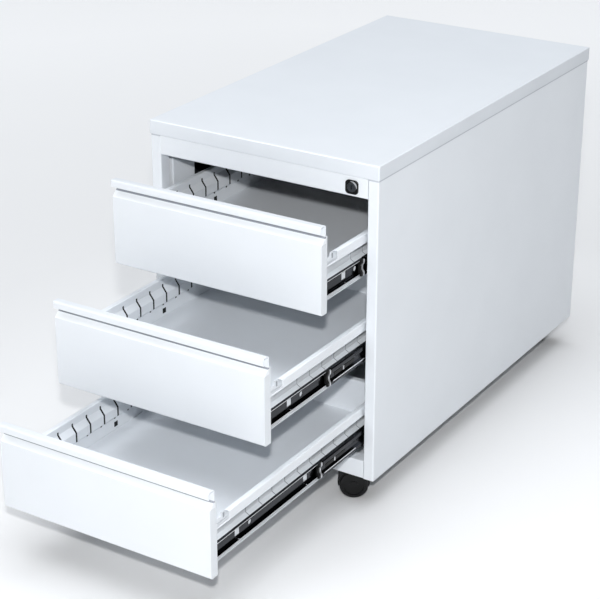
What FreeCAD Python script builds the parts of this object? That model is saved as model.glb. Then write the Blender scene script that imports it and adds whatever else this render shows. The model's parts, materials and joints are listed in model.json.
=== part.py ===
import FreeCAD, Part
import math
import os

# Steel mobile pedestal with three drawers. Millimetres.
# X is to the right, Y is to the back, Z is up. The origin is on the floor under the body's centre.

# Body
WIDTH = 430.0
DEPTH = 780.0
HEIGHT = 600.0
COVER_HEIGHT = 24.0
COVER_OVERHANG = 1.5
COVER_GAP = 0.8
BODY_BOTTOM = 54.0
BODY_TOP = HEIGHT - COVER_HEIGHT
SHEET = 1.2
BEND = 1.0
FRONT_Y = -DEPTH / 2
BACK_Y = DEPTH / 2
OPENING_HALF_WIDTH = 196.0
OPENING_BOTTOM = 86.0
OPENING_TOP = 542.5
STILE_RETURN = 21.5
REAR_FLANGE = 20.0
UPRIGHT_GAP = 11.5
UPRIGHT_DEPTH = 61.0
REAR_UPRIGHT_Y = 62.0
RAIL_RETURN = 22.0
PAN_FLANGE = 18.0
COVER_LEDGE = 30.0

# Drawers, top to bottom. A front's heights are counted from its own bottom edge.
DRAWER_BOTTOMS = [396.3, 245.5, 94.0]
EXTENSIONS = [132.0, 288.0, 431.0]
FRONT_HALF_WIDTH = 194.6
FRONT_FLAT_TOP = 114.5
FRONT_NECK_BOTTOM = 125.0
FRONT_TOP = 144.0
FRONT_NECK_DEPTH = 11.5
FRONT_DEPTH = 16.0
LIP_REACH = 2.5
LIP_BOTTOM = 132.5
LIP_BEND = 3.2
BACKPLATE_HALF_WIDTH = 191.0

# Drawer box. Its depths are counted backwards from the flat of the front.
BOX_FRONT = FRONT_DEPTH + 2 * SHEET
BACK_WALL_Y = 527.0
BACK_WALL_TOP = 80.0
BACK_WALL_FOLD = 10.0
BOX_BACK = BACK_WALL_Y + 14.0
BOX_SHEET = 1.0
WALL_X = 182.3
WALL_BOTTOM = 14.0
WALL_TOP = 87.2
WALL_FOOT_X = 185.5
TOP_FLANGE_X = 190.5
TOP_FLANGE_DROP = 15.0
TOP_FLANGE_START = 53.0
BEAD_DEPTH = 7.5
BEAD_LOW = 44.0
BEAD_LOW_FACE = 48.0
BEAD_HIGH_FACE = 64.0
BEAD_HIGH = 74.0
FLOOR_HEIGHT = 20.0
FLOOR_FLANGE = 5.0
SLOT_FIRST = 118.0
SLOT_PITCH = 36.0
SLOT_COUNT = 12
SLOT_WIDTH = 2.2
SLOT_LOW = 41.0
SLOT_HIGH = 78.0
KEY_HOLE_Y = 260.0
KEY_HOLE_SIZE = 9.0
KEY_HOLE_LOW = 25.0
STEP_END = 44.0
STEP_TOP = 80.5
CATCH_SLOT_Y = (48.0, 52.8)
CATCH_SLOT_Z = (75.5, 84.0)

# Ball-bearing slides
SLIDE_CENTRE = 35.0
SLIDE_SHEET = 1.2
SLIDE_FRONT = 18.5
INNER_HALF = 12.0
INNER_WEB_X = 183.5
INNER_TIP_X = 188.8
INNER_LENGTH = 500.0
WINDOW_STARTS = [76.0, 265.0, 454.0]
WINDOW_LENGTH = 13.0
WINDOW_LOW = -6.0
WINDOW_HIGH = 6.5
DRAIN_RADIUS = 1.8
SLIDE_HOLES = [116.0, 308.0, 428.0, 498.0]
SLIDE_HOLE_RADIUS = 4.2
MIDDLE_HALF = 14.5
MIDDLE_WEB_X = 193.2
MIDDLE_WAIST_X = 190.4
MIDDLE_WAIST_HALF = 3.5
MIDDLE_TRACK_HALF = 7.5
MIDDLE_TIP_X = 186.6
MIDDLE_LENGTH = 420.0
MIDDLE_FRONTS = [-390.0, -488.0, -512.0]
OUTER_HALF = 18.0
OUTER_WEB_X = 195.3
OUTER_TIP_X = 188.5
OUTER_LENGTH = 500.0
NOSE_LENGTH = 10.0
NOSE_INNER_X = 186.2
NOSE_INNER_HALF = 9.8

# Lock in the top rail, with its eccentric cam and the bar that the cam pushes down
LOCK_X = 168.0
LOCK_Z = 558.0
LOCK_SIZE = 22.5
LOCK_CORNER = 6.0
LOCK_BEZEL = 2.2
LOCK_BODY_RADIUS = 9.5
LOCK_BORE_RADIUS = 8.0
LOCK_CLEARANCE = 0.05
LOCK_BARREL_PROUD = 3.2
LOCK_BODY_BACK = FRONT_Y + 24.0
CAM_RADIUS = 9.0
CAM_OFFSET = 4.0
CAM_THICKNESS = 3.0
CAM_CLEARANCE = 0.3
KEYWAY = [1.4, 7.0, 6.0]
BAR_X = 202.5
BAR_THICKNESS = 3.0
BAR_WIDTH = 6.0
BAR_BOTTOM = 66.0
BAR_FOOT_THICKNESS = 2.0
GUIDE_HEIGHTS = [150.0, 320.0, 480.0]
GUIDE_SIZE = 8.0
GUIDE_CLEARANCE = 0.3
GUIDE_WALL = 1.5

# Castors
FRONT_CASTOR_X = 174.0
REAR_CASTOR_X = 135.0
CASTOR_INSET = 40.0
CASTOR_TRAIL = 16.0
CASTOR_ANGLES = [210.0, 60.0, 180.0, 0.0]
WHEEL_RADIUS = 24.0
WHEEL_WIDTH = 14.0
WHEEL_ROUND = 3.0
WHEEL_RIM = 6.0
WHEEL_RECESS = 2.0
HUB_CAP_RADIUS = 7.0
HUB_CAP_HEIGHT = 1.2
WHEEL_GAP = 6.0
AXLE_RADIUS = 3.0
AXLE_CLEARANCE = 0.05
HOOD_WALL = 2.0
HOOD_GAP = 1.5
HOOD_BOTTOM = WHEEL_RADIUS + 6.0
BRACKET_BOTTOM = WHEEL_RADIUS - 8.0
BRACKET_GAP = 0.5
NECK_BOTTOM = WHEEL_RADIUS + 15.0
NECK_WALL = 4.0
STEM_RADIUS = 5.0
STEM_CLEARANCE = 0.05
STEM_SHORT = 1.5
STEM_OVERLAP = 2.0
PLATE_GAP = 0.5
PLATE_SIZE = 44.0
PLATE_CORNER = 5.0
PLATE_THICKNESS = 2.5
PLATE_SOCKET_RADIUS = 9.0
PLATE_SOCKET_HEIGHT = 10.0

SCREW_RADIUS = 4.0
SCREW_HEAD = 1.6
SCREW_HEIGHTS = [90.0, 315.0, 540.0]


def vector(plane, u, v, along=0.0):
    """A point given in the named plane, moved along that plane's normal."""
    return {
        "xy": FreeCAD.Vector(u, v, along),
        "xz": FreeCAD.Vector(u, along, v),
        "yz": FreeCAD.Vector(along, u, v),
    }[plane]


def extrude(edges, plane, start, end):
    """A solid between two positions along the plane's normal."""
    face = Part.Face(Part.Wire(edges))
    face.translate(vector(plane, 0, 0, start))
    return face.extrude(vector(plane, 0, 0, end - start))


def prism(points, plane, start, end):
    """A solid with a straight-sided outline."""
    corners = [vector(plane, u, v) for u, v in points]
    return extrude(Part.makePolygon(corners + corners[:1]).Edges, plane, start, end)


def box(x, y, z):
    """A block between two positions on each axis."""
    return Part.makeBox(
        x[1] - x[0], y[1] - y[0], z[1] - z[0], FreeCAD.Vector(x[0], y[0], z[0])
    )


def cylinder(radius, start, axis, length):
    return Part.makeCylinder(radius, length, FreeCAD.Vector(*start), FreeCAD.Vector(*axis))


def unite(shapes):
    """One solid from touching shapes, with their shared faces merged."""
    whole = shapes[0].fuse(shapes[1:]) if len(shapes) > 1 else shapes[0]
    return whole.removeSplitter()


def mirrored(shape):
    """The same piece on the other side of the YZ plane."""
    return shape.mirror(FreeCAD.Vector(0, 0, 0), FreeCAD.Vector(1, 0, 0))


def both_sides(shape):
    return Part.makeCompound([mirrored(shape), shape])


def folded(points, plane, start, end, thickness=SHEET, bend=BEND):
    """Sheet metal folded along a centre line, with a round bend at each inner point."""
    path = [FreeCAD.Vector(u, v, 0) for u, v in points]
    half = thickness / 2
    sides = {1: [], -1: []}
    ahead = (path[1] - path[0]).normalize()
    for side in sides:
        sides[side].append(path[0] + FreeCAD.Vector(-ahead.y, ahead.x, 0) * half * side)
    for before, corner, after in zip(path, path[1:], path[2:]):
        into = (corner - before).normalize()
        out = (after - corner).normalize()
        turn = math.copysign(1, into.x * out.y - into.y * out.x)
        angle = into.getAngle(out)
        reach = (bend + half) * math.tan(angle / 2)
        left_in = FreeCAD.Vector(-into.y, into.x, 0)
        left_out = FreeCAD.Vector(-out.y, out.x, 0)
        centre = corner - into * reach + left_in * turn * (bend + half)
        towards = (corner - centre).normalize()
        for side in sides:
            radius = bend + half - turn * side * half
            first = corner - into * reach + left_in * half * side
            last = corner + out * reach + left_out * half * side
            sides[side] += [(first, centre + towards * radius, last)]
    ahead = (path[-1] - path[-2]).normalize()
    for side in sides:
        sides[side].append(path[-1] + FreeCAD.Vector(-ahead.y, ahead.x, 0) * half * side)

    def place(point):
        return vector(plane, point.x, point.y)

    edges = []
    for side in sides:
        here = place(sides[side][0])
        for first, middle, last in sides[side][1:-1]:
            edges.append(Part.makeLine(here, place(first)))
            edges.append(Part.Arc(place(first), place(middle), place(last)).toShape())
            here = place(last)
        edges.append(Part.makeLine(here, place(sides[side][-1])))
    for end_index in (0, -1):
        edges.append(Part.makeLine(place(sides[1][end_index]), place(sides[-1][end_index])))
    return extrude(Part.sortEdges(edges)[0], plane, start, end)


def side_panel():
    """Right side: outer skin, front stile with its return, and rear flange."""
    skin_x = WIDTH / 2 - SHEET / 2
    stile_x = OPENING_HALF_WIDTH + SHEET / 2
    outline = [
        (stile_x, FRONT_Y + STILE_RETURN),
        (stile_x, FRONT_Y + SHEET / 2),
        (skin_x, FRONT_Y + SHEET / 2),
        (skin_x, BACK_Y - SHEET / 2),
        (skin_x - REAR_FLANGE, BACK_Y - SHEET / 2),
    ]
    return folded(outline, "xy", BODY_BOTTOM, BODY_TOP)


def back_panel():
    """Rear sheet with its edges folded forwards, inside the side panels' rear flanges."""
    half = WIDTH / 2 - 2 * SHEET
    back = BACK_Y - 1.5 * SHEET
    outline = [(-half, back - REAR_FLANGE), (-half, back), (half, back), (half, back - REAR_FLANGE)]
    return folded(outline, "xy", BODY_BOTTOM + SHEET, BODY_TOP - SHEET)


def bottom_pan():
    """Floor of the body, with castor stem holes and flanges turned up at its sides."""
    half = WIDTH / 2 - 1.5 * SHEET
    level = BODY_BOTTOM + SHEET / 2
    flange_top = level + PAN_FLANGE
    outline = [(-half, flange_top), (-half, level), (half, level), (half, flange_top)]
    front = FRONT_Y + STILE_RETURN + SHEET
    pan = folded(outline, "xz", front, BACK_Y - REAR_FLANGE - 3 * SHEET)
    for x, y in castor_places():
        pan = pan.cut(cylinder(PLATE_SOCKET_RADIUS, (x, y, 0), (0, 0, 1), HEIGHT))
    return pan


def rail(low, high):
    """Front rail between the stiles, folded back at both edges."""
    face_y = FRONT_Y + SHEET / 2
    back = FRONT_Y + RAIL_RETURN
    outline = [
        (back, low + SHEET / 2),
        (face_y, low + SHEET / 2),
        (face_y, high - SHEET / 2),
        (back, high - SHEET / 2),
    ]
    return folded(outline, "yz", -OPENING_HALF_WIDTH, OPENING_HALF_WIDTH)


def top_rail():
    shape = rail(OPENING_TOP, BODY_TOP)
    hole = cylinder(LOCK_BODY_RADIUS, (LOCK_X, FRONT_Y - 1, LOCK_Z), (0, 1, 0), 10.0)
    return shape.cut(hole)


def bottom_rail():
    return rail(BODY_BOTTOM, OPENING_BOTTOM)


def top_cover():
    """Folded steel cover on a ledge that leaves a fine gap above the body."""
    half_x = WIDTH / 2 + COVER_OVERHANG
    half_y = DEPTH / 2 + COVER_OVERHANG
    skirt_bottom = BODY_TOP + COVER_GAP
    outer = box((-half_x, half_x), (-half_y, half_y), (skirt_bottom, HEIGHT))
    rounded = [e for e in outer.Edges if e.BoundBox.ZMax > skirt_bottom + 1]
    outer = outer.makeFillet(BEND + SHEET, rounded)
    inner = box(
        (SHEET - half_x, half_x - SHEET),
        (SHEET - half_y, half_y - SHEET),
        (BODY_TOP - 1, HEIGHT - SHEET),
    )
    skirt = outer.cut(inner)
    ledge = box(
        (SHEET - half_x, half_x - SHEET),
        (SHEET - half_y, half_y - SHEET),
        (BODY_TOP, BODY_TOP + SHEET),
    )
    window = box(
        (COVER_LEDGE - half_x, half_x - COVER_LEDGE),
        (COVER_LEDGE - half_y, half_y - COVER_LEDGE),
        (BODY_TOP - 1, BODY_TOP + SHEET + 1),
    )
    return unite([skirt, ledge.cut(window)])


def upright(front):
    """Right-hand post that carries the slides, folded as a hat section."""
    face_x = OPENING_HALF_WIDTH + SHEET / 2
    foot_x = WIDTH / 2 - 2 * SHEET
    outline = [
        (foot_x, front),
        (face_x, front),
        (face_x, front + UPRIGHT_DEPTH),
        (foot_x, front + UPRIGHT_DEPTH),
    ]
    return folded(outline, "xy", BODY_BOTTOM + 2 * SHEET, BODY_TOP - SHEET)


def front_upright():
    return upright(FRONT_Y + STILE_RETURN + UPRIGHT_GAP)


def rear_upright():
    return upright(REAR_UPRIGHT_Y)


def cabinet_screws():
    """Pan-head screws that hold the back panel's flanges."""
    x = WIDTH / 2 - REAR_FLANGE / 2
    heads = []
    for side in (-1, 1):
        for z in SCREW_HEIGHTS:
            head = cylinder(SCREW_RADIUS, (side * x, BACK_Y, z), (0, 1, 0), SCREW_HEAD)
            rim = [e for e in head.Edges if abs(e.BoundBox.YMin - BACK_Y - SCREW_HEAD) < 0.01]
            heads.append(head.makeFillet(SCREW_HEAD / 2, rim))
    return Part.makeCompound(heads)


def front_y(level):
    """Y of the flat of a drawer's front, in the rest pose."""
    return FRONT_Y - EXTENSIONS[level]


def at_drawer(shape, level):
    """Move a drawer piece from the drawer's own frame to its place."""
    moved = shape.copy()
    moved.translate(FreeCAD.Vector(0, front_y(level), DRAWER_BOTTOMS[level]))
    return moved


def drawer_front():
    """Folded front: flat face, slope, neck and hooked lip, with a return at each end."""
    half = SHEET / 2
    outline = [
        (FRONT_DEPTH, half),
        (half, half),
        (half, FRONT_FLAT_TOP),
        (FRONT_NECK_DEPTH, FRONT_NECK_BOTTOM),
        (FRONT_NECK_DEPTH, FRONT_TOP - half),
        (-LIP_REACH + half, FRONT_TOP - half),
        (-LIP_REACH + half, LIP_BOTTOM),
    ]
    sheet = folded(outline, "yz", -FRONT_HALF_WIDTH, FRONT_HALF_WIDTH, bend=LIP_BEND / 2)
    end = prism(
        [
            (half, half),
            (FRONT_DEPTH, half),
            (FRONT_DEPTH, FRONT_NECK_BOTTOM + half),
            (FRONT_NECK_DEPTH, FRONT_NECK_BOTTOM + half),
            (half, FRONT_FLAT_TOP),
        ],
        "yz",
        FRONT_HALF_WIDTH - SHEET,
        FRONT_HALF_WIDTH,
    )
    corner = cylinder(LIP_BEND / 2 + SHEET, (0, 0, 0), (1, 0, 0), SHEET)
    corner.translate(
        FreeCAD.Vector(FRONT_HALF_WIDTH - SHEET, LIP_BEND / 2 + SHEET, LIP_BEND / 2 + SHEET)
    )
    square = box((0, WIDTH), (0, LIP_BEND / 2 + SHEET), (0, LIP_BEND / 2 + SHEET))
    end = unite([end.cut(square), corner.common(square)])
    return unite([sheet, end, mirrored(end)])


def drawer_backplate():
    """Pan that closes the back of the front."""
    level = FRONT_DEPTH + SHEET / 2
    outline = [
        (FRONT_DEPTH - 9.0, 3.0 * SHEET),
        (level, 3.0 * SHEET),
        (level, FRONT_NECK_BOTTOM - 2.0),
    ]
    return folded(outline, "yz", -BACKPLATE_HALF_WIDTH, BACKPLATE_HALF_WIDTH)


def drawer_side():
    """Right wall: foot flange, bead pressed inwards, boxed top flange and a catch slot."""
    bead_x = WALL_X - BEAD_DEPTH
    outline = [
        (WALL_FOOT_X, WALL_BOTTOM),
        (WALL_X, WALL_BOTTOM),
        (WALL_X, BEAD_LOW),
        (bead_x, BEAD_LOW_FACE),
        (bead_x, BEAD_HIGH_FACE),
        (WALL_X, BEAD_HIGH),
        (WALL_X, WALL_TOP),
        (TOP_FLANGE_X, WALL_TOP),
        (TOP_FLANGE_X, WALL_TOP - TOP_FLANGE_DROP),
    ]
    wall = folded(outline, "xz", BOX_FRONT, BOX_BACK, BOX_SHEET)
    x = (bead_x - 2, WALL_X + 2)
    cuts = []
    for index in range(SLOT_COUNT):
        y = SLOT_FIRST + index * SLOT_PITCH
        cuts.append(box(x, (y - SLOT_WIDTH / 2, y + SLOT_WIDTH / 2), (SLOT_LOW, SLOT_HIGH)))
    key_y = (KEY_HOLE_Y, KEY_HOLE_Y + KEY_HOLE_SIZE)
    cuts.append(box(x, key_y, (KEY_HOLE_LOW, KEY_HOLE_LOW + KEY_HOLE_SIZE)))
    flange_end = (WALL_X + 1.5 * BOX_SHEET, TOP_FLANGE_X + 2)
    cuts.append(box(flange_end, (0, TOP_FLANGE_START), (BEAD_HIGH, WALL_TOP + 2)))
    wall_x = (WALL_X - 2, WALL_X + 2)
    cuts.append(box(wall_x, (0, STEP_END), (STEP_TOP, WALL_TOP + 2)))
    cuts.append(box(wall_x, CATCH_SLOT_Y, CATCH_SLOT_Z))
    return wall.cut(cuts)


def drawer_floor():
    """Bottom sheet with its side flanges turned down against the walls."""
    half = WALL_X - BOX_SHEET
    level = FLOOR_HEIGHT - BOX_SHEET / 2
    outline = [(-half, level - FLOOR_FLANGE), (-half, level), (half, level),
               (half, level - FLOOR_FLANGE)]
    return folded(outline, "xz", BOX_FRONT, BOX_BACK, BOX_SHEET, BEND / 2)


def drawer_back():
    """Rear wall, standing on the floor, with its top edge folded backwards."""
    outline = [
        (BACK_WALL_Y, FLOOR_HEIGHT),
        (BACK_WALL_Y, BACK_WALL_TOP),
        (BACK_WALL_Y + BACK_WALL_FOLD, BACK_WALL_TOP),
    ]
    half = WALL_X - BEAD_DEPTH - BOX_SHEET / 2
    return folded(outline, "yz", -half, half, BOX_SHEET)


def channel(web_x, tip_x, half_height, start, length):
    """Right-hand slide member: a web with two rolled flanges."""
    inner = half_height - SLIDE_SHEET / 2
    outline = [
        (tip_x, SLIDE_CENTRE - inner),
        (web_x, SLIDE_CENTRE - inner),
        (web_x, SLIDE_CENTRE + inner),
        (tip_x, SLIDE_CENTRE + inner),
    ]
    return folded(outline, "xz", start, start + length, SLIDE_SHEET)


def inner_slide():
    """Drawer member, with windows and round holes in its web and holes in its lower flange."""
    shape = channel(INNER_WEB_X, INNER_TIP_X, INNER_HALF, SLIDE_FRONT, INNER_LENGTH)
    x = (INNER_WEB_X - 2, INNER_WEB_X + 2)
    z = (SLIDE_CENTRE + WINDOW_LOW, SLIDE_CENTRE + WINDOW_HIGH)
    flange_x = (INNER_WEB_X + INNER_TIP_X + SLIDE_SHEET) / 2
    flange_z = SLIDE_CENTRE - INNER_HALF - 1
    cuts = []
    for y in WINDOW_STARTS:
        cuts.append(box(x, (y, y + WINDOW_LENGTH), z))
        middle = (flange_x, y + WINDOW_LENGTH / 2, flange_z)
        cuts.append(cylinder(DRAIN_RADIUS, middle, (0, 0, 1), 3.0))
    for y in SLIDE_HOLES:
        cuts.append(cylinder(SLIDE_HOLE_RADIUS, (x[0], y, SLIDE_CENTRE), (1, 0, 0), 4.0))
    return shape.cut(cuts)


def middle_slide():
    """Intermediate member: two ball tracks with a waist pressed inwards between them."""
    inner = MIDDLE_HALF - SLIDE_SHEET / 2
    upper = [
        (MIDDLE_WAIST_X, MIDDLE_WAIST_HALF),
        (MIDDLE_WEB_X, MIDDLE_TRACK_HALF),
        (MIDDLE_WEB_X, inner),
        (MIDDLE_TIP_X, inner),
    ]
    lower = [(x, -height) for x, height in reversed(upper)]
    outline = [(x, SLIDE_CENTRE + height) for x, height in lower + upper]
    return folded(outline, "xz", 0.0, MIDDLE_LENGTH, SLIDE_SHEET)


def outer_slide():
    start = FRONT_Y + SLIDE_FRONT
    return channel(OUTER_WEB_X, OUTER_TIP_X, OUTER_HALF, start, OUTER_LENGTH)


def ball_retainer():
    """Plastic nose in front of a middle member, inside its pressed outline."""
    outer = MIDDLE_WEB_X - SLIDE_SHEET / 2
    waist = MIDDLE_WAIST_X - SLIDE_SHEET / 2
    corner = MIDDLE_HALF - SLIDE_SHEET
    upper = [
        (waist, MIDDLE_WAIST_HALF),
        (outer, MIDDLE_TRACK_HALF + BEND),
        (outer, corner),
        ((INNER_TIP_X + waist) / 2, corner),
        ((INNER_TIP_X + waist) / 2, NOSE_INNER_HALF),
        (NOSE_INNER_X, NOSE_INNER_HALF),
    ]
    lower = [(x, -height) for x, height in reversed(upper)]
    outline = [(x, SLIDE_CENTRE + height) for x, height in lower + upper]
    return prism(outline, "xz", -NOSE_LENGTH, 0.0)


def at_middle(shape, level):
    """Move a middle-member piece to its place, on both sides."""
    moved = shape.copy()
    moved.translate(FreeCAD.Vector(0, MIDDLE_FRONTS[level], DRAWER_BOTTOMS[level]))
    return both_sides(moved)


def lock_housing():
    """Rounded escutcheon on the rail with the body behind it, bored for the barrel."""
    half = LOCK_SIZE / 2
    plate = box(
        (LOCK_X - half, LOCK_X + half),
        (FRONT_Y - LOCK_BEZEL, FRONT_Y),
        (LOCK_Z - half, LOCK_Z + half),
    )
    long_edges = [e for e in plate.Edges if e.BoundBox.YLength > 1]
    plate = plate.makeFillet(LOCK_CORNER, long_edges)
    body = cylinder(
        LOCK_BODY_RADIUS, (LOCK_X, FRONT_Y, LOCK_Z), (0, 1, 0), LOCK_BODY_BACK - FRONT_Y
    )
    bore = cylinder(
        LOCK_BORE_RADIUS + LOCK_CLEARANCE, (LOCK_X, FRONT_Y - 5, LOCK_Z), (0, 1, 0), 50.0
    )
    return unite([plate, body]).cut(bore)


def lock_barrel():
    """Turning cylinder with a keyway in its face."""
    face = FRONT_Y - LOCK_BARREL_PROUD
    length = LOCK_BODY_BACK - face
    barrel = cylinder(LOCK_BORE_RADIUS, (LOCK_X, face, LOCK_Z), (0, 1, 0), length)
    rim = [e for e in barrel.Edges if abs(e.BoundBox.YMax - face) < 0.01]
    barrel = barrel.makeFillet(1.0, rim)
    half = [size / 2 for size in KEYWAY]
    keyway = box(
        (LOCK_X - half[0], LOCK_X + half[0]),
        (face - 1, face + KEYWAY[2]),
        (LOCK_Z - half[1], LOCK_Z + half[1]),
    )
    return barrel.cut(keyway)


def lock_cam():
    """Eccentric disc on the back of the barrel."""
    reach = CAM_OFFSET * math.sqrt(0.5)
    return cylinder(
        CAM_RADIUS, (LOCK_X - reach, LOCK_BODY_BACK, LOCK_Z + reach), (0, 1, 0), CAM_THICKNESS
    )


def lock_bar():
    """Upright bar with a foot that reaches under the cam."""
    foot_top = LOCK_Z + CAM_OFFSET * math.sqrt(0.5) - CAM_RADIUS - CAM_CLEARANCE
    y = (LOCK_BODY_BACK, LOCK_BODY_BACK + BAR_WIDTH)
    right = BAR_X + BAR_THICKNESS / 2
    bar = box((right - BAR_THICKNESS, right), y, (BAR_BOTTOM, foot_top))
    foot = box((LOCK_X - CAM_RADIUS, right), y, (foot_top - BAR_FOOT_THICKNESS, foot_top))
    return unite([bar, foot])


def lock_bar_guides():
    """Blocks on the side panel that the bar slides through."""
    left = BAR_X - BAR_THICKNESS / 2
    right = WIDTH / 2 - SHEET
    y = LOCK_BODY_BACK
    gap = GUIDE_CLEARANCE
    guides = []
    for z in GUIDE_HEIGHTS:
        block = box(
            (left - GUIDE_WALL, right),
            (y - GUIDE_WALL, y + BAR_WIDTH + GUIDE_WALL),
            (z, z + GUIDE_SIZE),
        )
        hole = box(
            (left - gap, left + BAR_THICKNESS + gap),
            (y - gap, y + BAR_WIDTH + gap),
            (z - 1, z + GUIDE_SIZE + 1),
        )
        guides.append(block.cut(hole))
    return Part.makeCompound(guides)


def castor_places():
    """Swivel axes: front right, front left, back right, back left."""
    front = FRONT_Y + CASTOR_INSET
    return [
        (FRONT_CASTOR_X, front),
        (-FRONT_CASTOR_X, front),
        (REAR_CASTOR_X, -front),
        (-REAR_CASTOR_X, -front),
    ]


def castor_plates():
    """Fixing plates under the body, each with the socket for a castor stem."""
    plates = []
    half = PLATE_SIZE / 2
    low = BODY_BOTTOM - PLATE_THICKNESS
    for x, y in castor_places():
        plate = box((x - half, x + half), (y - half, y + half), (low, BODY_BOTTOM))
        corners = [e for e in plate.Edges if e.BoundBox.ZLength > 1]
        plate = plate.makeFillet(PLATE_CORNER, corners)
        height = PLATE_THICKNESS + PLATE_SOCKET_HEIGHT
        socket = cylinder(PLATE_SOCKET_RADIUS, (x, y, low), (0, 0, 1), height)
        bore = cylinder(STEM_RADIUS + STEM_CLEARANCE, (x, y, low - 1), (0, 0, 1), height)
        plates.append(unite([plate, socket]).cut(bore))
    return Part.makeCompound(plates)


def at_castor(shape, index):
    """Turn a castor piece about its stem and move it to its corner."""
    x, y = castor_places()[index]
    moved = shape.copy()
    moved.rotate(FreeCAD.Vector(0, 0, 0), FreeCAD.Vector(0, 0, 1), CASTOR_ANGLES[index])
    moved.translate(FreeCAD.Vector(x, y, 0))
    return moved


def round_about_axle(radius, half_length):
    """A cylinder about the axle, reaching the same distance to each side of the castor."""
    start = (CASTOR_TRAIL, -half_length, WHEEL_RADIUS)
    return cylinder(radius, start, (0, 1, 0), 2 * half_length)


def above(shape, level):
    """The part of a castor piece that's above a level."""
    reach = 3 * WHEEL_RADIUS
    return shape.common(box((-reach, reach), (-reach, reach), (level, BODY_BOTTOM)))


def castor_hood():
    """Swivel body: stem, bracket between the wheels, and a hood over their tops."""
    top = BODY_BOTTOM - PLATE_THICKNESS - PLATE_GAP
    half = WHEEL_GAP / 2 + WHEEL_WIDTH
    bracket_half = WHEEL_GAP / 2 - BRACKET_GAP
    inner_radius = WHEEL_RADIUS + HOOD_GAP
    outer_radius = min(inner_radius + HOOD_WALL, top - WHEEL_RADIUS)
    room = round_about_axle(inner_radius, half)
    cap = above(round_about_axle(outer_radius, half).cut(room), HOOD_BOTTOM)
    bracket = above(round_about_axle(outer_radius, bracket_half), BRACKET_BOTTOM)
    neck_radius = STEM_RADIUS + NECK_WALL
    neck = cylinder(neck_radius, (0, 0, NECK_BOTTOM), (0, 0, 1), top - NECK_BOTTOM)
    neck = neck.cut(room.cut(round_about_axle(inner_radius, bracket_half)))
    stem_length = STEM_OVERLAP + PLATE_GAP + PLATE_THICKNESS + PLATE_SOCKET_HEIGHT - STEM_SHORT
    stem = cylinder(STEM_RADIUS, (0, 0, top - STEM_OVERLAP), (0, 0, 1), stem_length)
    hub = round_about_axle(AXLE_RADIUS + AXLE_CLEARANCE, half)
    return unite([cap, bracket, neck, stem]).cut(hub)


def castor_wheels():
    """Two wheels and the axle that joins them through the bracket."""
    wheels = []
    for side in (-1, 1):
        start = (CASTOR_TRAIL, side * WHEEL_GAP / 2, WHEEL_RADIUS)
        wheel = cylinder(WHEEL_RADIUS, start, (0, side, 0), WHEEL_WIDTH)
        rims = [e for e in wheel.Edges if e.BoundBox.YLength < 0.01]
        wheel = wheel.makeFillet(WHEEL_ROUND, rims)
        face_y = side * (WHEEL_GAP / 2 + WHEEL_WIDTH - WHEEL_RECESS)
        face = (CASTOR_TRAIL, face_y, WHEEL_RADIUS)
        recess = cylinder(WHEEL_RADIUS - WHEEL_RIM, face, (0, side, 0), 2 * WHEEL_RECESS)
        cap = cylinder(HUB_CAP_RADIUS, face, (0, side, 0), HUB_CAP_HEIGHT)
        wheels.append(wheel.cut(recess).fuse(cap))
    return unite(wheels + [round_about_axle(AXLE_RADIUS, WHEEL_GAP / 2)])


def pieces():
    """Every node of the object with its solid."""
    side = side_panel()
    front_post = front_upright()
    rear_post = rear_upright()
    yield "side_panel_left", mirrored(side)
    yield "side_panel_right", side
    yield "back_panel", back_panel()
    yield "bottom_pan", bottom_pan()
    yield "top_cover", top_cover()
    yield "top_rail", top_rail()
    yield "bottom_rail", bottom_rail()
    yield "front_uprights", both_sides(front_post)
    yield "rear_uprights", both_sides(rear_post)
    yield "back_screws", cabinet_screws()
    yield "castor_plates", castor_plates()
    yield "lock_housing", lock_housing()
    yield "lock_barrel", lock_barrel()
    yield "lock_cam", lock_cam()
    yield "lock_bar", lock_bar()
    yield "lock_bar_guides", lock_bar_guides()

    front = drawer_front()
    backplate = drawer_backplate()
    wall = drawer_side()
    floor = drawer_floor()
    back = drawer_back()
    inner = inner_slide()
    middle = middle_slide()
    outer = outer_slide()
    retainer = ball_retainer()
    for level, bottom in enumerate(DRAWER_BOTTOMS):
        name = f"drawer_{level + 1}"
        fixed = outer.copy()
        fixed.translate(FreeCAD.Vector(0, 0, bottom))
        yield f"{name}_outer_slides", both_sides(fixed)
        yield f"{name}_middle_slides", at_middle(middle, level)
        yield f"{name}_ball_retainers", at_middle(retainer, level)
        yield f"{name}_inner_slides", at_drawer(both_sides(inner), level)
        yield f"{name}_front", at_drawer(front, level)
        yield f"{name}_backplate", at_drawer(backplate, level)
        yield f"{name}_side_left", at_drawer(mirrored(wall), level)
        yield f"{name}_side_right", at_drawer(wall, level)
        yield f"{name}_floor", at_drawer(floor, level)
        yield f"{name}_back", at_drawer(back, level)

    hood = castor_hood()
    wheels = castor_wheels()
    for index in range(len(castor_places())):
        yield f"castor_{index + 1}_hood", at_castor(hood, index)
        yield f"castor_{index + 1}_wheels", at_castor(wheels, index)


def main():
    os.makedirs("parts", exist_ok=True)
    for node, shape in pieces():
        if not shape.isValid():
            raise ValueError(f"{node} isn't a valid shape")
        shape.exportStep(f"parts/{node}.step")


main()
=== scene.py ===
import json
import math

import bpy
from mathutils import Matrix, Vector


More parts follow.
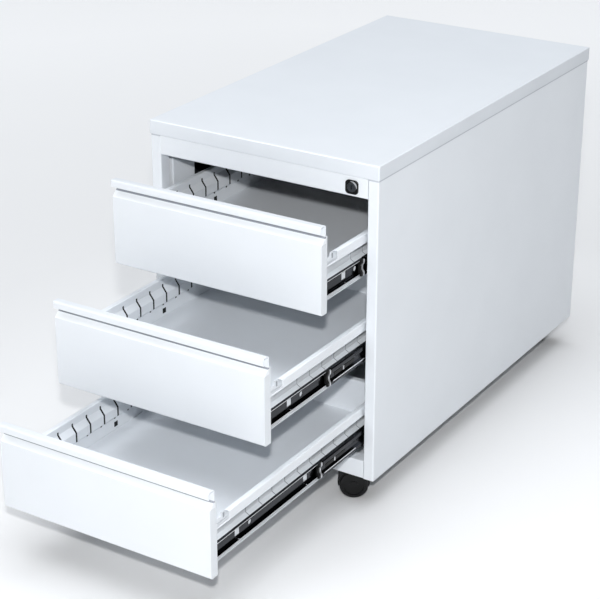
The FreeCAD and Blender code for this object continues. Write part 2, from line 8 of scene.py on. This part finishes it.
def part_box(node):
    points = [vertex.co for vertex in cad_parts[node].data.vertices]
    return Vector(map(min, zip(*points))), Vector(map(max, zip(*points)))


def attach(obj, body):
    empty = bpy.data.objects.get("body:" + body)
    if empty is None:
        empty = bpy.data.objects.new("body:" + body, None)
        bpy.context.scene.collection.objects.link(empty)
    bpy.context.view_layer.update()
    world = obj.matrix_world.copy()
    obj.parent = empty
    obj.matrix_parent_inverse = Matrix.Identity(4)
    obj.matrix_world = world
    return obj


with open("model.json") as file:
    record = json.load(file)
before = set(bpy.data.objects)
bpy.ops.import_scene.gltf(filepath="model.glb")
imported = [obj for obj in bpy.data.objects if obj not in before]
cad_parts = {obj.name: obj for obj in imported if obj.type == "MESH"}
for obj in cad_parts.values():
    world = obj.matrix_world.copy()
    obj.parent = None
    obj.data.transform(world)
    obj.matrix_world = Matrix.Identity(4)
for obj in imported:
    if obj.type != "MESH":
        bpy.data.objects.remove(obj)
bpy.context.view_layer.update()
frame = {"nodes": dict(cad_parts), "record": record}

# Camera, fitted to the photograph's perspective
CAMERA_PLACE = (1.4474, -2.5711, 1.4892)
CAMERA_AZIMUTH = 32.205
CAMERA_ELEVATION = 23.904
CAMERA_ROLL = 0.05
LENS = 105.2
SENSOR = 36.0

# Lights: a small flash over the camera, a soft overhead light and a weak one from the front
AIM = Vector((0, 0, 0.3))
FLASH_ABOVE_CAMERA = 0.25
FLASH_SIZE = 0.08
FLASH_POWER = 54.0
OVERHEAD_PLACE = (0, -0.1, 3)
OVERHEAD_STRENGTH = 2.65
OVERHEAD_COLOUR = (0.93, 0.96, 1.0)
OVERHEAD_SPREAD = 60.0
FILL_PLACE = (-0.8, -3, 1.4)
FILL_STRENGTH = 0.42
FILL_SPREAD = 30.0
WORLD_STRENGTH = 0.04
BACKDROP_STRENGTH = 0.9

# Coating: its dark and light tones, and the share of them that the fronts get, which darkens them as
# painted shade against the stronger light on them
COATING = ((0.79, 0.823, 0.86), (0.81, 0.843, 0.88))
FRONT_PAINTED_SHADE = 0.93
DRAWER_NAMES = ("drawer_1", "drawer_2", "drawer_3")

# Floor, which gets whiter from the middle outwards
FLOOR_HALF = 12.0
FLOOR_NEAR = 0.9
FLOOR_FAR = 2.6

# Inside of the cabinet, where the coating hardly gets any light; painted shade makes it almost black there
PAINTED_SHADE_INSIDE = ((-0.2141, 0.2141), (-0.366, 0.3882), (0.0, 0.5994))
EVERYWHERE = (-1.0, 1.0)

# A front's lip reaches this far in front of its flat
LIP_REACH = 0.0025

# Slots through a drawer wall; depths count from the front, heights from the bottom edge
WALL_X = 0.1823
BEAD_X = 0.1748
SLOT_PROFILE = [
    (WALL_X, 0.0402), (WALL_X, 0.0440), (BEAD_X, 0.0480),
    (BEAD_X, 0.0640), (WALL_X, 0.0740), (WALL_X, 0.0788),
]
SLOT_FIRST = 0.118
SLOT_PITCH = 0.036
SLOT_COUNT = 12
SLOT_WIDTH = 0.0021
# Sheets of painted shade in the slots and holes: their thickness, width and offset
SLOT_SHADE_THICKNESS = 0.0004
SHADE_SHEET_WIDTH = 0.0034
SHADE_SHEET_ASIDE = 0.0006
KEY_HOLE = ((0.2601, 0.2689), (0.0251, 0.0339))
CATCH_SLOT = ((0.0481, 0.0527), (0.0756, 0.0839))

# Section of the middle slide member; heights count from the slide's centre
WAIST_DEPTH = 0.0028
WAIST_HALF = 0.0035
TRACK_HALF = 0.0075
MIDDLE_HALF = 0.0139
BEND_DEPTH = 0.0005
BEND_BEFORE = 0.0008
BEND_AFTER = 0.0006
CORNER = 0.001
# Painted highlight on the middle member's front edge: its reach and thickness
EDGE_REACH = (-0.0052, -0.0024)
EDGE_THICKNESS = 0.0012

# Lines of painted highlight along the inner member: sunk into it, standing out of it, and inset from its
# edges
LINE_SUNK = 0.0002
LINE_PROUD = 0.0004
LINE_INSET = (0.0002, 0.0009)

# Middle member's web, counted from its front end and from the slide's centre
# Painted highlight along the track's bend
TRACK_HIGHLIGHT = ((0.004, 0.100), (-0.0088, -0.0072))
# Black plate of painted shade in the web's window
WEB_WINDOW = ((0.012, 0.072), (-0.0030, 0.0030))
# Painted highlight on the peg
WEB_PEG_Y = 0.039
WEB_PEG_RADIUS = 0.0016
WEB_RELIEF = 0.0003

# Heights of the cover's band, and of the painted shadow line at the joint under it
BAND = (0.5761, 0.5986)
JOINT_SHADOW = (0.5736, 0.5761)

# Painted shade in the crease of a front under its lip and painted light on the neck below it: depths from
# the flat, heights from the bottom edge
CREASE_Y = (-0.0010, 0.0125)
CREASE_SHADE_Z = (0.1232, 0.1257)
NECK_LIGHT_Z = (0.1148, 0.1232)

# Painted highlight: a bright crescent on the lock
GLINT_RADIUS = 0.0093
GLINT_WIDTH = 0.0022
GLINT_TIP = 0.0001
GLINT_STEPS = 12
GLINT_RELIEF = 0.0010
GLINT_ANGLES = (-5.0, 100.0)


class Drawer:
    """A drawer's places, read from the frame."""

    def __init__(self, name):
        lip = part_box(f"{name}_front")[0]
        self.name = name
        self.front = lip[1] + LIP_REACH
        self.bottom = lip[2]
        self.inner_low, self.inner_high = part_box(f"{name}_inner_slides")
        self.middle_low, self.middle_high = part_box(f"{name}_middle_slides")
        self.slide_centre = (self.middle_low[2] + self.middle_high[2]) / 2
        self.track_face = self.middle_high[0]
        self.waist_face = self.track_face - WAIST_DEPTH


def node_material(name):
    """A new node material with its Principled shader, node list and link maker."""
    material = bpy.data.materials.new(name)
    material.use_nodes = True
    nodes = material.node_tree.nodes
    shader = nodes["Principled BSDF"]
    return material, shader, nodes, material.node_tree.links.new


def object_place(nodes):
    return nodes.new("ShaderNodeTexCoord").outputs["Object"]


def noise(nodes, link, coordinates, scale, detail=3.0, roughness=0.5):
    node = nodes.new("ShaderNodeTexNoise")
    node.inputs["Scale"].default_value = scale
    node.inputs["Detail"].default_value = detail
    node.inputs["Roughness"].default_value = roughness
    link(coordinates, node.inputs["Vector"])
    return node.outputs["Fac"]


def ramp(nodes, link, factor, dark, light):
    """Colours from dark to light over the middle of a noise."""
    node = nodes.new("ShaderNodeValToRGB")
    link(factor, node.inputs["Fac"])
    first, last = node.color_ramp.elements
    first.position, last.position = 0.3, 0.7
    first.color, last.color = (*dark, 1), (*light, 1)
    return node.outputs["Color"]


def spread(nodes, link, factor, low, high):
    node = nodes.new("ShaderNodeMapRange")
    node.inputs["To Min"].default_value = low
    node.inputs["To Max"].default_value = high
    link(factor, node.inputs["Value"])
    return node.outputs["Result"]


def bump(nodes, link, height, strength, distance, shader):
    node = nodes.new("ShaderNodeBump")
    node.inputs["Strength"].default_value = strength
    node.inputs["Distance"].default_value = distance
    link(height, node.inputs["Height"])
    link(node.outputs["Normal"], shader.inputs["Normal"])


def within(nodes, link, place, ranges):
    """One inside a box of the object's own coordinates and zero outside."""
    axes = nodes.new("ShaderNodeSeparateXYZ")
    link(place, axes.inputs["Vector"])
    both = None
    for axis, (low, high) in enumerate(ranges):
        for operation, limit in (("GREATER_THAN", low), ("LESS_THAN", high)):
            test = nodes.new("ShaderNodeMath")
            test.operation = operation
            test.inputs[1].default_value = limit
            link(axes.outputs[axis], test.inputs[0])
            if both is None:
                both = test.outputs[0]
                continue
            product = nodes.new("ShaderNodeMath")
            product.operation = "MULTIPLY"
            link(both, product.inputs[0])
            link(test.outputs[0], product.inputs[1])
            both = product.outputs[0]
    return both


def blended(nodes, link, factor, first, second):
    node = nodes.new("ShaderNodeMix")
    node.data_type = "RGBA"
    link(factor, node.inputs["Factor"])
    link(first, node.inputs["A"])
    link(second, node.inputs["B"])
    return node.outputs["Result"]


def powder_coat(name, painted_shade=1.0, zones=()):
    """White powder coat, its tones scaled by a share that paints shade on it when below one. A zone is a
    box of the object's coordinates with its dark and light tones.
    """
    material, shader, nodes, link = node_material(name)
    place = object_place(nodes)
    tone = noise(nodes, link, place, 9.0)
    dark, light = [[part * painted_shade for part in shade] for shade in COATING]
    colour = ramp(nodes, link, tone, dark, light)
    for ranges, dark, light in zones:
        inside = within(nodes, link, place, ranges)
        colour = blended(nodes, link, inside, colour, ramp(nodes, link, tone, dark, light))
    link(colour, shader.inputs["Base Color"])
    link(spread(nodes, link, noise(nodes, link, place, 60.0), 0.42, 0.56), shader.inputs["Roughness"])
    bump(nodes, link, noise(nodes, link, place, 900.0, 2.0), 0.12, 0.0004, shader)
    return material


def shell_coat():
    """Coating of the cabinet's own sheets: a greyer cover band, a painted shadow line at the joint under
    it, and painted shade that makes the inside almost black.
    """
    return powder_coat("powder_coat_shell", zones=(
        ((EVERYWHERE, EVERYWHERE, BAND), (0.71, 0.745, 0.785), (0.74, 0.775, 0.815)),
        # painted shadow of the cover's overhang at the joint
        ((EVERYWHERE, EVERYWHERE, JOINT_SHADOW), (0.50, 0.53, 0.58), (0.54, 0.57, 0.62)),
        # painted shade: the inside almost black
        (PAINTED_SHADE_INSIDE, (0.008, 0.009, 0.011), (0.014, 0.015, 0.018)),
    ))


def front_coat(drawer):
    """Coating of a drawer front, with painted shade in the crease under its lip and painted light on its
    neck.
    """
    depth = [drawer.front + y for y in CREASE_Y]
    crease_shade_height = [drawer.bottom + z for z in CREASE_SHADE_Z]
    neck_light_height = [drawer.bottom + z for z in NECK_LIGHT_Z]
    return powder_coat(f"powder_coat_{drawer.name}", FRONT_PAINTED_SHADE, (
        # painted shade in the crease
        ((EVERYWHERE, depth, crease_shade_height), (0.30, 0.32, 0.36), (0.35, 0.37, 0.41)),
        # painted light on the neck
        ((EVERYWHERE, depth, neck_light_height), (0.88, 0.91, 0.94), (0.90, 0.93, 0.96)),
    ))


def metal(name, dark, light, rough_low, rough_high, grain):
    """Metal with streaks along the depth."""
    material, shader, nodes, link = node_material(name)
    stretch = nodes.new("ShaderNodeMapping")
    stretch.inputs["Scale"].default_value = (grain, 2.0, grain)
    link(object_place(nodes), stretch.inputs["Vector"])
    streaks = noise(nodes, link, stretch.outputs["Vector"], 1.0, 6.0, 0.65)
    link(ramp(nodes, link, streaks, dark, light), shader.inputs["Base Color"])
    link(spread(nodes, link, streaks, rough_low, rough_high), shader.inputs["Roughness"])
    shader.inputs["Metallic"].default_value = 1.0
    bump(nodes, link, streaks, 0.08, 0.0003, shader)
    return material


def moulded(name, dark, light, rough_low, rough_high, grain):
    """Moulded plastic with a fine grain."""
    material, shader, nodes, link = node_material(name)
    shader.inputs["Specular IOR Level"].default_value = 0.25
    place = object_place(nodes)
    tone = noise(nodes, link, place, 30.0)
    link(ramp(nodes, link, tone, dark, light), shader.inputs["Base Color"])
    link(spread(nodes, link, tone, rough_low, rough_high), shader.inputs["Roughness"])
    bump(nodes, link, noise(nodes, link, place, grain, 2.0), 0.15, 0.0003, shader)
    return material


def make_materials():
    black = ((0.003, 0.003, 0.003), (0.006, 0.006, 0.006))
    castor = ((0.006, 0.006, 0.006), (0.011, 0.011, 0.012))
    plated = ((0.016, 0.017, 0.020), (0.040, 0.042, 0.049))
    return {
        "powder_coat": powder_coat("powder_coat"),
        "slide_steel": metal("slide_steel", *plated, 0.10, 0.20, 300.0),
        "retainer_plastic": moulded("retainer_plastic", *black, 0.4, 0.5, 800.0),
        "zinc_screw": metal("zinc_screw", (0.55, 0.56, 0.58), (0.68, 0.69, 0.7), 0.25, 0.4, 200.0),
        "zinc_plate": metal("zinc_plate", (0.5, 0.51, 0.53), (0.62, 0.63, 0.65), 0.3, 0.45, 120.0),
        "lock_black": moulded("lock_black", *black, 0.25, 0.4, 900.0),
        # The lock's chrome is coloured dark, a painted dark reflection on its barrel
        "lock_chrome": metal("lock_chrome", (0.10, 0.103, 0.11), (0.17, 0.173, 0.18), 0.12, 0.22, 250.0),
        "guide_plastic": moulded("guide_plastic", (0.6, 0.6, 0.58), (0.7, 0.7, 0.68), 0.4, 0.55, 500.0),
        "castor_black": moulded("castor_black", *castor, 0.42, 0.55, 700.0),
        "castor_tyre": moulded("castor_tyre", (0.005, 0.005, 0.005), (0.01, 0.01, 0.011), 0.35, 0.5, 500.0),
    }


def paint_nodes(drawers, materials):
    """Give every CAD node its slot's material, with a coating of its own for the shell and fronts."""
    shell = shell_coat()
    special = {node: shell for node in ("side_panel_left", "side_panel_right", "back_panel", "top_cover")}
    for drawer in drawers:
        special[f"{drawer.name}_front"] = front_coat(drawer)
    for part in frame["record"]["subparts"]:
        mesh_object = frame["nodes"][part["node"]]
        material = special.get(part["node"], materials[part["material_slot"]])
        for index in range(len(mesh_object.material_slots)):
            mesh_object.material_slots[index].material = material


def block(x, y, z):
    """Corners and faces of a box."""
    corners = [(a, b, c) for a in x for b in y for c in z]
    faces = [(0, 1, 3, 2), (4, 6, 7, 5), (0, 4, 5, 1), (2, 3, 7, 6), (0, 2, 6, 4), (1, 5, 7, 3)]
    return corners, faces


def strip(sections, y):
    """A solid strip through pairs of x-z points, one pair a section, as wide as the range y."""
    corners = [(x, depth, z) for section in sections for x, z in section for depth in y]
    last = 4 * (len(sections) - 1)
    faces = [(0, 1, 3, 2), (last, last + 2, last + 3, last + 1)]
    for start in range(0, last, 4):
        for a, b in ((0, 2), (2, 3), (3, 1), (1, 0)):
            faces.append((start + a, start + b, start + 4 + b, start + 4 + a))
    return corners, faces


def ribbon(profile, y, thickness):
    """A thin strip that follows an x-z profile and is as wide as the range y."""
    path = [Vector(point) for point in profile]
    sections = []
    for index, point in enumerate(path):
        ahead = (path[min(index + 1, len(path) - 1)] - path[max(index - 1, 0)]).normalized()
        aside = Vector((ahead.y, -ahead.x)) * thickness / 2
        sections.append((point - aside, point + aside))
    return strip(sections, y)


def joined(solids):
    corners, faces = [], []
    for more_corners, more_faces in solids:
        offset = len(corners)
        corners += more_corners
        faces += [tuple(corner + offset for corner in face) for face in more_faces]
    return corners, faces


def both_sides(solid):
    corners, faces = solid
    other = [(-x, y, z) for x, y, z in corners]
    return joined([solid, (other, [face[::-1] for face in faces])])


def add_piece(name, solid, material, body, place):
    """A visual piece that rides on a body."""
    corners, faces = solid
    mesh = bpy.data.meshes.new(name)
    mesh.from_pydata([Vector(corner) + Vector(place) for corner in corners], [], faces)
    piece = bpy.data.objects.new(name, mesh)
    bpy.context.collection.objects.link(piece)
    mesh.materials.append(material)
    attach(piece, body)


def slot_shade_sheets(slot_width, aside):
    """Painted shade: dark sheets in the slots and small holes of a drawer's right wall, where only shade
    shows through, moved outwards by aside.
    """
    solids = []
    profile = [(x + aside, z) for x, z in SLOT_PROFILE]
    for index in range(SLOT_COUNT):
        middle = SLOT_FIRST + index * SLOT_PITCH
        width = (middle - slot_width / 2, middle + slot_width / 2)
        solids.append(ribbon(profile, width, SLOT_SHADE_THICKNESS))
    thickness = (WALL_X + aside - SLOT_SHADE_THICKNESS / 2, WALL_X + aside + SLOT_SHADE_THICKNESS / 2)
    for y, z in (KEY_HOLE, CATCH_SLOT):
        solids.append(block(thickness, y, z))
    return joined(solids)


def middle_profile(drawer):
    """Middle of the middle member's web, from its lower edge to its upper edge."""
    waist = drawer.waist_face - EDGE_THICKNESS / 2
    track = drawer.track_face - EDGE_THICKNESS / 2
    upper = [
        (waist, WAIST_HALF - BEND_BEFORE), (waist + BEND_DEPTH, WAIST_HALF + BEND_AFTER),
        (track - BEND_DEPTH, TRACK_HALF - BEND_AFTER), (track, TRACK_HALF + BEND_BEFORE),
        (track, MIDDLE_HALF - CORNER), (track - CORNER, MIDDLE_HALF),
    ]
    lower = [(x, -height) for x, height in reversed(upper)]
    return [(x, drawer.slide_centre + height) for x, height in lower + upper]


def edge_highlight(drawer):
    """Painted highlight along the front edge of the middle member, seen against its black nose."""
    front = drawer.middle_low[1]
    return ribbon(middle_profile(drawer), [front + y for y in EDGE_REACH], EDGE_THICKNESS)


def slide_highlights(drawer):
    """Painted highlights along the inner member's flange edges."""
    y = (drawer.inner_low[1], drawer.inner_high[1])
    tip = drawer.inner_high[0]
    x = (tip - LINE_SUNK, tip + LINE_PROUD)
    low, high = drawer.inner_low[2], drawer.inner_high[2]
    near, far = LINE_INSET
    return joined([block(x, y, (high - far, high - near)), block(x, y, (low + near, low + far))])


def web_plate(drawer, face, y, z, relief):
    """A thin plate on the outside of the middle member's web; these plates carry its painted highlights and
    its painted shade.
    """
    depth = [drawer.middle_low[1] + value for value in y]
    height = [drawer.slide_centre + value for value in z]
    return block((face, face + relief), depth, height)


def lock_glint():
    """Painted highlight: a bright crescent between the barrel and its surround."""
    low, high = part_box("lock_housing")
    centre = Vector((low[0] + high[0], low[2] + high[2])) / 2
    first, last = GLINT_ANGLES
    sections = []
    for step in range(GLINT_STEPS + 1):
        share = step / GLINT_STEPS
        angle = math.radians(first + share * (last - first))
        out = Vector((math.cos(angle), math.sin(angle)))
        half = GLINT_WIDTH / 2 * math.sin(math.pi * share) + GLINT_TIP
        sections.append((centre + out * (GLINT_RADIUS - half), centre + out * (GLINT_RADIUS + half)))
    return strip(sections, (low[1] - GLINT_RELIEF, low[1]))


def add_details(drawers, materials):
    """The thin pieces that are too fine for the CAD model: painted highlights on the slides and the lock,
    and painted shade in the slots and the web windows.
    """
    highlight = metal("painted_highlight", (0.78, 0.79, 0.81), (0.9, 0.91, 0.93), 0.4, 0.55, 200.0)
    shade_grey = moulded("slot_shade_grey", (0.34, 0.36, 0.39), (0.4, 0.42, 0.45), 0.6, 0.7, 500.0)
    black = materials["retainer_plastic"]
    for drawer in drawers:
        name, middle = drawer.name, f"{drawer.name}_middle"
        corner = (0, drawer.front, drawer.bottom)
        here = (0, 0, 0)
        peg_y = (WEB_PEG_Y - WEB_PEG_RADIUS, WEB_PEG_Y + WEB_PEG_RADIUS)
        bend_highlight = web_plate(drawer, drawer.track_face, *TRACK_HIGHLIGHT, WEB_RELIEF)
        peg = web_plate(drawer, drawer.waist_face, peg_y, WEB_WINDOW[1], 2 * WEB_RELIEF)
        dark_window = web_plate(drawer, drawer.waist_face, *WEB_WINDOW, WEB_RELIEF)
        # painted shade in the slots and holes: black and grey sheets
        black_shade = slot_shade_sheets(SHADE_SHEET_WIDTH, -SHADE_SHEET_ASIDE)
        grey_shade = slot_shade_sheets(SLOT_WIDTH, 0.0)
        for piece, solid, material, body, slot, place in (
            ("slot_shade_sheets", black_shade, black, name, "retainer_plastic", corner),
            ("slot_grey_shade_sheets", grey_shade, shade_grey, name, "powder_coat", corner),
            ("slide_highlights", slide_highlights(drawer), highlight, name, "slide_steel", here),
            ("edge_highlights", edge_highlight(drawer), highlight, middle, "slide_steel", here),
            ("track_highlights", joined([bend_highlight, peg]), highlight, middle, "slide_steel", here),
            ("web_window_shade", dark_window, black, middle, "retainer_plastic", here),
        ):
            add_piece(f"{name}_{piece}", both_sides(solid), material, body, place)
    add_piece("lock_glint", lock_glint(), highlight, "cabinet", (0, 0, 0))


def add_floor():
    """A pale matt floor, darker near the cabinet than far from it."""
    mesh = bpy.data.meshes.new("floor")
    low, high = -FLOOR_HALF, FLOOR_HALF
    corners = [(low, low, 0), (high, low, 0), (high, high, 0), (low, high, 0)]
    mesh.from_pydata(corners, [], [(0, 1, 2, 3)])
    floor = bpy.data.objects.new("floor", mesh)
    bpy.context.collection.objects.link(floor)
    material, shader, nodes, link = node_material("floor")
    place = object_place(nodes)
    tone = noise(nodes, link, place, 0.6)
    near = ramp(nodes, link, tone, (0.77, 0.77, 0.77), (0.79, 0.79, 0.79))
    far = ramp(nodes, link, tone, (0.95, 0.95, 0.95), (0.97, 0.97, 0.97))
    distance = nodes.new("ShaderNodeVectorMath")
    distance.operation = "LENGTH"
    link(place, distance.inputs[0])
    away = nodes.new("ShaderNodeMapRange")
    away.inputs["From Min"].default_value = FLOOR_NEAR
    away.inputs["From Max"].default_value = FLOOR_FAR
    link(distance.outputs["Value"], away.inputs["Value"])
    link(blended(nodes, link, away.outputs["Result"], near, far), shader.inputs["Base Color"])
    shader.inputs["Roughness"].default_value = 0.9
    mesh.materials.append(material)


def add_lamp(name, kind, place, power, size, colour):
    """A light at a place, aimed at the middle of the cabinet. A sun's size is its angle in degrees."""
    light = bpy.data.lights.new(name, kind)
    light.energy = power
    light.color = colour
    if kind == "SUN":
        light.angle = math.radians(size)
    else:
        light.size = size
    lamp = bpy.data.objects.new(name, light)
    bpy.context.collection.objects.link(lamp)
    lamp.location = place
    lamp.rotation_euler = (Vector(place) - AIM).to_track_quat("Z", "Y").to_euler()


def add_lights():
    world = bpy.data.worlds.new("studio")
    world.use_nodes = True
    nodes, link = world.node_tree.nodes, world.node_tree.links.new
    background = nodes["Background"]
    background.inputs["Color"].default_value = (1.0, 1.0, 1.0, 1)
    seen = nodes.new("ShaderNodeLightPath").outputs["Is Camera Ray"]
    link(spread(nodes, link, seen, WORLD_STRENGTH, BACKDROP_STRENGTH), background.inputs["Strength"])
    bpy.context.scene.world = world
    bpy.context.scene.view_settings.view_transform = "Standard"
    above_camera = Vector(CAMERA_PLACE) + Vector((0, 0, FLASH_ABOVE_CAMERA))
    add_lamp("flash", "AREA", above_camera, FLASH_POWER, FLASH_SIZE, (1, 1, 1))
    add_lamp("overhead", "SUN", OVERHEAD_PLACE, OVERHEAD_STRENGTH, OVERHEAD_SPREAD, OVERHEAD_COLOUR)
    add_lamp("fill", "SUN", FILL_PLACE, FILL_STRENGTH, FILL_SPREAD, (1, 1, 1))


def add_camera():
    camera = bpy.data.cameras.new("camera")
    camera.lens = LENS
    camera.sensor_width = SENSOR
    camera.clip_end = 50.0
    seen = bpy.data.objects.new("camera", camera)
    bpy.context.collection.objects.link(seen)
    turn = (
        Matrix.Rotation(math.radians(CAMERA_AZIMUTH), 4, "Z")
        @ Matrix.Rotation(math.radians(90 - CAMERA_ELEVATION), 4, "X")
        @ Matrix.Rotation(math.radians(CAMERA_ROLL), 4, "Z")
    )
    seen.matrix_world = Matrix.Translation(CAMERA_PLACE) @ turn
    bpy.context.scene.camera = seen


def main():
    add_camera()
    drawers = [Drawer(name) for name in DRAWER_NAMES]
    materials = make_materials()
    paint_nodes(drawers, materials)
    add_details(drawers, materials)
    add_floor()
    add_lights()


main()
